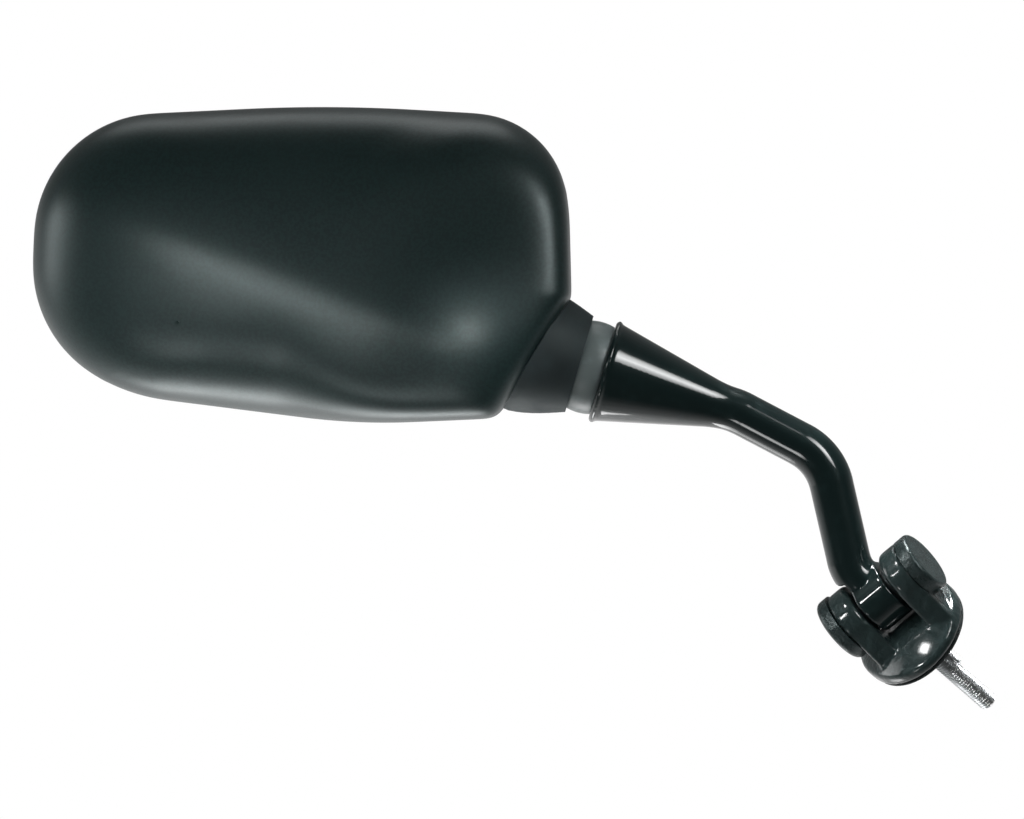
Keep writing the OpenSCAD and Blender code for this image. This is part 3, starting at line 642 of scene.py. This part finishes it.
def copy_of(node: str, name: str) -> bpy.types.Object:
    """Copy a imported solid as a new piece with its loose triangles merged.

    Args:
        node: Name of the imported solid.
        name: Name of the new piece.

    Returns:
        The new piece, which rides on nothing yet.
    """
    pick(frame["nodes"][node])
    bpy.ops.object.duplicate()
    piece = new_piece(name)
    bpy.ops.object.parent_clear(type="CLEAR_KEEP_TRANSFORM")
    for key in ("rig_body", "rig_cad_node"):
        if key in piece:
            del piece[key]
    bpy.ops.mesh.customdata_custom_splitnormals_clear()
    bpy.ops.object.mode_set(mode="EDIT")
    bpy.ops.mesh.select_all(action="SELECT")
    bpy.ops.mesh.remove_doubles(threshold=WELD)
    bpy.ops.mesh.tris_convert_to_quads(face_threshold=QUAD_TURN, shape_threshold=QUAD_SKEW)
    bpy.ops.object.mode_set(mode="OBJECT")
    return piece


def soften_edges(piece: bpy.types.Object, width: float, from_angle: float = 40.0) -> None:
    """Round a piece's sharp edges.

    Args:
        piece: The piece.
        width: Width of the round in metres.
        from_angle: Angle in degrees from which an edge counts as sharp.
    """
    modify(
        piece,
        "BEVEL",
        width=width,
        segments=EDGE_SEGMENTS,
        limit_method="ANGLE",
        angle_limit=math.radians(from_angle),
        harden_normals=False,
    )


def recast(piece: bpy.types.Object, voxel: float, steps: int) -> None:
    """Turn a sharp solid into a casting: one even skin with all its edges softened.

    Args:
        piece: The piece.
        voxel: Size of the new faces in metres.
        steps: Rounds of smoothing.
    """
    modify(piece, "REMESH", mode="VOXEL", voxel_size=voxel, use_smooth_shade=True)
    modify(piece, "SMOOTH", factor=0.5, iterations=steps)
    pick(piece)
    bpy.ops.object.shade_smooth()


@dataclass
class SubAssembly:
    """Pieces that ride on one body and are built and dressed together."""

    body: str
    pieces: dict[str, bpy.types.Object] = field(default_factory=dict, init=False)
    slots: dict[str, str] = field(default_factory=dict, init=False)

    def build(self) -> None:
        """Make the pieces."""
        raise NotImplementedError

    def keep(self, piece: bpy.types.Object, slot: str, *nodes: str) -> None:
        """Ride a finished piece on the body.

        Args:
            piece: The finished piece.
            slot: The record's material slot that it takes its finish from.
            *nodes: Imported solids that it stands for.
        """
        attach(piece, self.body)
        if nodes:
            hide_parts(*nodes)
        self.pieces[piece.name] = piece
        self.slots[piece.name] = slot
        log.info("%s: %d faces on %s", piece.name, len(piece.data.polygons), self.body)

    def dress(self, paints: dict[str, bpy.types.Material]) -> None:
        """Give each piece the material of its slot.

        Args:
            paints: Materials by slot.
        """
        for name, piece in self.pieces.items():
            piece.data.materials.clear()
            piece.data.materials.append(paints[self.slots[name]])


@dataclass
class Head(SubAssembly):
    """Shell, glass and the boot at the neck."""

    body: str = "head"
    wall: float = 2.5 * MM
    skin_turn: float = 60.0
    rim_crease: float = 0.55
    edge_round: float = 0.35 * MM
    flat_place: Vector = field(default_factory=lambda: Vector((-0.11837, -0.01, 0.08887)))
    flat_out: Vector = field(default_factory=lambda: Vector((0.8516, 0.0, -0.5242)))
    flat_reach: float = 0.2 * MM
    boot_press: float = 1.4 * MM
    subdivisions: int = 2

    def build(self) -> None:
        """Make the shell, the carrier's lip, the glass and the boot."""
        self.keep(self.shell(), "shell_plastic", "shell")
        for node, slot in (("glass_carrier", "carrier_plastic"), ("mirror_glass", "mirror_glass")):
            plate = copy_of(node, f"{node}_edged")
            soften_edges(plate, self.edge_round)
            smooth(plate, Smoothing.MOULDED)
            self.keep(plate, slot, node)
        boot = copy_of("neck_boot", "rubber_boot")
        self.seat_boot(boot)
        soften_edges(boot, self.edge_round)
        smooth(boot, Smoothing.MOULDED)
        self.keep(boot, "boot_rubber", "neck_boot")

    def seat_boot(self, boot: bpy.types.Object) -> None:
        """Stretch the boot's end a little into the shell's curved wall, which it is pressed to.

        Args:
            boot: The boot's piece, which is active.
        """
        bpy.ops.object.mode_set(mode="EDIT")
        bpy.ops.mesh.select_mode(type="VERT")
        bpy.ops.mesh.select_all(action="DESELECT")
        mesh = bmesh.from_edit_mesh(boot.data)
        for vertex in mesh.verts:
            height = (vertex.co - self.flat_place) @ self.flat_out
            vertex.select_set(abs(height) < self.flat_reach)
        bmesh.update_edit_mesh(boot.data)
        bpy.ops.transform.translate(value=self.flat_out * -self.boot_press)
        bpy.ops.object.mode_set(mode="OBJECT")

    def shell(self) -> bpy.types.Object:
        """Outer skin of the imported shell, smoothed and given its wall again.

        Returns:
            The shell's piece.
        """
        piece = copy_of("shell", "moulded_shell")
        low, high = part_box("shell")
        middle = (low + high) / 2
        bpy.ops.object.mode_set(mode="EDIT")
        bpy.ops.mesh.select_mode(type="FACE")
        mesh = bmesh.from_edit_mesh(piece.data)
        back = Vector((middle.x, low.y, middle.z))
        seed = min(mesh.faces, key=lambda face: (face.calc_center_median() - back).length)
        for face in mesh.faces:
            face.select_set(face == seed)
        bmesh.update_edit_mesh(piece.data)
        bpy.ops.mesh.faces_select_linked_flat(sharpness=math.radians(self.skin_turn))
        bpy.ops.mesh.select_all(action="INVERT")
        bpy.ops.mesh.delete(type="FACE")
        bpy.ops.object.mode_set(mode="OBJECT")
        modify(
            piece,
            "SOLIDIFY",
            thickness=self.wall,
            offset=-1.0,
            use_even_offset=True,
            edge_crease_rim=self.rim_crease,
        )
        modify(piece, "SUBSURF", levels=self.subdivisions, render_levels=self.subdivisions)
        smooth(piece, Smoothing.CAST)
        return piece


@dataclass
class Arm(SubAssembly):
    """Cast arm with its swivel ring."""

    body: str = "arm"
    voxel: float = 0.4 * MM
    smooth_steps: int = 8
    edge_round: float = 0.3 * MM

    def build(self) -> None:
        """Make the arm and the ring."""
        arm = copy_of("arm", "cast_arm")
        recast(arm, self.voxel, self.smooth_steps)
        self.keep(arm, "gloss_black_casting", "arm")
        ring = copy_of("swivel_ring", "turned_ring")
        soften_edges(ring, self.edge_round)
        smooth(ring, Smoothing.MOULDED)
        self.keep(ring, "satin_black_ring", "swivel_ring")


@dataclass(frozen=True)
class Thread:
    """Metric thread of the two mounting studs, with its end chamfered."""

    radius: float = 3.0 * MM
    core: float = 2.4 * MM
    root_sink: float = 0.2 * MM
    pitch: float = 1.0 * MM
    root_share: float = 0.98
    crest: float = 0.14 * MM
    length: float = 26.0 * MM
    buried: float = 6.0 * MM
    chamfer: float = 0.7 * MM
    span: float = 30.0 * MM
    spare_turns: int = 2
    steps: int = 40
    sides: int = 96

    def stud(self, name: str) -> bpy.types.Object:
        """Make one stud, from its root at -Z to its tip at +Z.

        Args:
            name: Name of the piece.

        Returns:
            The stud, with its mounting face at the origin.
        """
        core = self.turned("core", self.core - self.root_sink / 2, -self.buried, self.length)
        ridge = self.ridge("ridge")
        blank = self.turned("blank", self.radius, -self.pitch, self.length)
        modify(ridge, "BOOLEAN", operation="INTERSECT", solver="EXACT", object=blank)
        pick(blank)
        bpy.ops.object.delete()
        pick(core, ridge)
        bpy.ops.object.join()
        return new_piece(name)

    def turned(self, name: str, radius: float, low: float, high: float) -> bpy.types.Object:
        """Round bar between two heights with its upper end chamfered.

        Args:
            name: Name of the bar.
            radius: Its radius.
            low: Height of its lower end.
            high: Height of its upper end.

        Returns:
            The bar.
        """
        middle = (0, 0, (high + low) / 2)
        bpy.ops.mesh.primitive_cylinder_add(
            vertices=self.sides, radius=radius, depth=high - low, location=middle
        )
        bar = new_piece(name)
        bpy.ops.object.mode_set(mode="EDIT")
        bpy.ops.mesh.select_all(action="DESELECT")
        mesh = bmesh.from_edit_mesh(bar.data)
        for edge in mesh.edges:
            edge.select_set(all(vertex.co.z > 0 for vertex in edge.verts))
        bmesh.update_edit_mesh(bar.data)
        bpy.ops.mesh.bevel(offset=self.chamfer * radius / self.radius, segments=1)
        bpy.ops.object.mode_set(mode="OBJECT")
        bpy.ops.object.transform_apply(location=True, rotation=False, scale=False)
        return bar

    def ridge(self, name: str) -> bpy.types.Object:
        """Wind the thread's ridge from below the mounting face to beyond the tip.

        Args:
            name: Name of the ridge.

        Returns:
            The ridge, a closed solid.
        """
        turns = int(self.length / self.pitch) + 2 * self.spare_turns
        start = -self.spare_turns * self.pitch
        half = self.pitch * self.root_share / 2
        root = self.core - self.root_sink
        profile = (
            (root, -half),
            (self.core, -half),
            (self.radius, -self.crest / 2),
            (self.radius, self.crest / 2),
            (self.core, half),
            (root, half),
        )
        bpy.ops.mesh.primitive_circle_add(vertices=len(profile), fill_type="NOTHING")
        ridge = new_piece(name)
        bpy.ops.object.mode_set(mode="EDIT")
        mesh = bmesh.from_edit_mesh(ridge.data)
        for vertex, (across, along) in zip(mesh.verts, profile):
            vertex.co = Vector((across, 0.0, along + start))
        bmesh.update_edit_mesh(ridge.data)
        bpy.ops.object.mode_set(mode="OBJECT")
        modify(
            ridge,
            "SCREW",
            screw_offset=self.pitch,
            iterations=turns,
            steps=self.steps,
            render_steps=self.steps,
        )
        bpy.ops.object.mode_set(mode="EDIT")
        bpy.ops.mesh.select_all(action="SELECT")
        bpy.ops.mesh.fill_holes(sides=0)
        bpy.ops.mesh.normals_make_consistent(inside=False)
        bpy.ops.object.mode_set(mode="OBJECT")
        return ridge


@dataclass
class Foot(SubAssembly):
    """Cast base with its gasket, end caps and threaded studs."""

    body: str = "base"
    voxel: float = 0.36 * MM
    smooth_steps: int = 50
    edge_round: float = 0.9 * MM
    axis: Vector = field(default_factory=lambda: Vector((0.65656, 0.5, -0.56473)))
    line: Vector = field(default_factory=lambda: Vector((-0.33266, 0.86392, 0.37814)))
    thread: Thread = Thread()

    def build(self) -> None:
        """Make the base, its trim and the studs."""
        base = copy_of("base", "cast_base")
        recast(base, self.voxel, self.smooth_steps)
        self.keep(base, "black_casting", "base")
        for node, slot in (
            ("base_gasket", "gasket_rubber"),
            ("upper_end_cap", "cap_plastic"),
            ("lower_end_cap", "cap_plastic"),
        ):
            trim = copy_of(node, f"{node}_edged")
            soften_edges(trim, self.edge_round)
            smooth(trim, Smoothing.MOULDED)
            self.keep(trim, slot, node)
        for side, node in ((-1, "front_stud"), (1, "rear_stud")):
            stud = self.thread.stud(f"threaded_{node}")
            settle(stud, self.line * (side * self.thread.span / 2), self.axis)
            smooth(stud, Smoothing.MACHINED)
            self.keep(stud, "zinc_steel", node)


class Inside:
    """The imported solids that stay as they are, most of them inside the mirror."""

    def dress(self, paints: dict[str, bpy.types.Material]) -> None:
        """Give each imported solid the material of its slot.

        Args:
            paints: Materials by slot.
        """
        for part in frame["record"]["subparts"]:
            node = frame["nodes"][part["node"]]
            node.data.materials.clear()
            node.data.materials.append(paints[part["material_slot"]])


# Places on the mirror that the softboxes aim at
SHELL = Vector((-0.21, -0.03, 0.1))
RIDGE = Vector((-0.26, -0.03, 0.11))
BELLY = Vector((-0.145, -0.03, 0.085))
CONE = Vector((-0.07, -0.02, 0.075))
FOOT = Vector((0.0, -0.01, 0.01))
SPOT = Vector((-0.137, -0.03, 0.094))
STUD = Vector((0.02, 0.0, -0.018))


@dataclass(frozen=True)
class Softbox:
    """A rectangular softbox whose grid keeps its light on one part of the mirror."""

    name: str
    place: Vector
    aim: Vector
    size: tuple[float, float]
    watts: float
    spread: float = 180.0

    def build(self) -> None:
        """Hang the lamp and turn it to its aim."""
        bpy.ops.object.light_add(type="AREA", location=self.place)
        lamp = bpy.context.active_object
        lamp.name = self.name
        lamp.data.shape = "RECTANGLE"
        lamp.data.size, lamp.data.size_y = self.size
        lamp.data.energy = self.watts
        lamp.data.spread = math.radians(self.spread)
        lamp.rotation_euler = (self.aim - self.place).to_track_quat("-Z", "Y").to_euler()


@dataclass
class Studio:
    """Pale floor, white surroundings, softboxes and the camera."""

    image_size: tuple[int, int] = (1024, 819)
    pixels_per_mm: float = 3.2
    origin_pixel: tuple[float, float] = (918.0, 636.8)
    lens: float = 600.0
    sensor: float = 36.0
    sharp_plane: float = 8 * MM
    floor_drop: float = 0.75
    floor_size: float = 5.0
    floor_grey: Colour = (0.3, 0.3, 0.3)
    floor_glow: float = 0.92
    floor_fades_out: tuple[float, float] = (1.0, 2.25)
    floor_mirrored: tuple[float, float] = (-0.6, 0.4)
    ambient: float = 0.12
    dim_front: float = 0.03
    behind_from: tuple[float, float] = (-0.3, 0.6)
    below_from: tuple[float, float] = (0.35, -0.35)
    above_level: float = 0.15
    below_gain: float = 0.75
    far_clip: float = 100.0
    softboxes: tuple[Softbox, ...] = (
        Softbox("key_softbox", Vector((-0.54, -1.25, -0.06)), RIDGE, (0.2, 0.16), 0.038, 9.0),
        Softbox("spot_softbox", Vector((-0.167, -0.618, 0.202)), SPOT, (0.03, 0.03), 0.001, 3.0),
        Softbox("low_rear_softbox", Vector((-0.25, 0.16, -0.27)), SHELL, (0.3, 0.2), 0.11, 50.0),
        Softbox("low_front_softbox", Vector((-0.4, -0.42, -0.38)), BELLY, (0.3, 0.3), 0.032, 20.0),
        Softbox("left_softbox", Vector((-0.95, 0.0, 0.12)), SHELL, (0.5, 0.5), 0.26, 50.0),
        Softbox("arm_softbox", Vector((0.223, -0.332, 0.332)), CONE, (0.15, 0.28), 0.078, 34.0),
        Softbox("foot_softbox", Vector((-0.23, -0.164, 0.17)), FOOT, (0.05, 0.05), 0.009, 30.0),
        Softbox("dome_softbox", Vector((0.04, 0.01, 0.41)), FOOT, (0.12, 0.12), 0.08, 20.0),
        Softbox("stud_softbox", Vector((-0.304, -0.31, 0.027)), STUD, (0.06, 0.06), 0.003, 10.0),
        Softbox("top_softbox", Vector((-0.25, 0.5, 1.0)), SHELL, (0.8, 0.5), 1.8),
    )

    def build(self) -> None:
        """Set up the whole studio."""
        self.camera()
        self.floor()
        self.surroundings()
        for softbox in self.softboxes:
            softbox.build()
        bpy.context.scene.view_settings.view_transform = "Standard"

    def camera(self) -> None:
        """Camera level with the mirror, looking along +Y as in the photograph."""
        wide, high = self.image_size
        across = wide / self.pixels_per_mm * MM
        x = (wide / 2 - self.origin_pixel[0]) / self.pixels_per_mm * MM
        z = (self.origin_pixel[1] - high / 2) / self.pixels_per_mm * MM
        y = self.sharp_plane - across * self.lens / self.sensor
        bpy.ops.object.camera_add(location=(x, y, z), rotation=(math.radians(90), 0, 0))
        camera = bpy.context.active_object
        camera.name = "photo_camera"
        camera.data.lens = self.lens
        camera.data.sensor_width = self.sensor
        camera.data.clip_end = self.far_clip
        bpy.context.scene.camera = camera

    def floor(self) -> None:
        """Pale floor below the mirror that shows white and keeps a soft shadow."""
        low, high = CAD_BOX
        middle = (low + high) / 2
        place = (middle.x, middle.y, low.z - self.floor_drop)
        bpy.ops.mesh.primitive_plane_add(size=self.floor_size, location=place)
        floor = new_piece("pale_floor")
        material = bpy.data.materials.new("pale_floor")
        material.use_nodes = True
        recipe = Recipe(material.node_tree)
        reach = recipe.node("ShaderNodeVectorMath", {"operation": "LENGTH"}, {0: recipe.place()}, 1)
        edge = reach.above(*self.floor_fades_out)
        share = self.seen(recipe) * (edge * (1.0 - self.floor_glow) + self.floor_glow)
        matt = recipe.node("ShaderNodeBsdfDiffuse", None, {"Color": self.floor_grey})
        glow = recipe.node("ShaderNodeEmission", None, {"Color": WHITE})
        both = recipe.node("ShaderNodeMixShader", None, {0: share, 1: matt, 2: glow})
        recipe.end("ShaderNodeOutputMaterial", both)
        floor.data.materials.append(material)

    def seen(self, recipe: Recipe) -> Wire:
        """1 where the camera sees a surface, less where a mirror does, and 0 for diffuse light.

        Args:
            recipe: The surface's node tree.

        Returns:
            A value from 0 to 1.
        """
        depth = recipe.part(recipe.node("ShaderNodeNewGeometry", output="Position"), "Y")
        mirrored = recipe.ray("Glossy") * depth.above(*self.floor_mirrored)
        return recipe.ray("Camera").larger(mirrored).larger(recipe.ray("Transmission"))

    def surroundings(self) -> None:
        """World that is white to the camera and dim as a source of light."""
        world = bpy.data.worlds.new("white_surroundings")
        world.use_nodes = True
        bpy.context.scene.world = world
        recipe = Recipe(world.node_tree)
        direction = recipe.node("ShaderNodeTexCoord", output="Generated")
        behind = recipe.part(direction, "Y").above(*self.behind_from)
        low = recipe.part(direction, "Z").above(*self.below_from)
        below = low * self.below_gain + self.above_level
        glossy = recipe.ray("Glossy")
        mirrored = glossy * (behind * below + (1.0 - behind) * self.dim_front)
        soft = (1.0 - glossy) * self.ambient
        seen = recipe.ray("Camera").larger(recipe.ray("Transmission"))
        sockets = {"Color": WHITE, "Strength": seen.larger(mirrored + soft)}
        shader = recipe.node("ShaderNodeBackground", None, sockets)
        recipe.end("ShaderNodeOutputWorld", shader)


def main() -> None:
    """Build the mirror's pieces, dress them and set up the studio."""
    logging.basicConfig(level=logging.INFO, format="%(name)s: %(message)s")
    Studio().build()
    paints = {slot: finish.material() for slot, finish in FINISHES.items()}
    Inside().dress(paints)
    for assembly in (Head(), Arm(), Foot()):
        assembly.build()
        assembly.dress(paints)


if __name__ == "__main__":
    main()
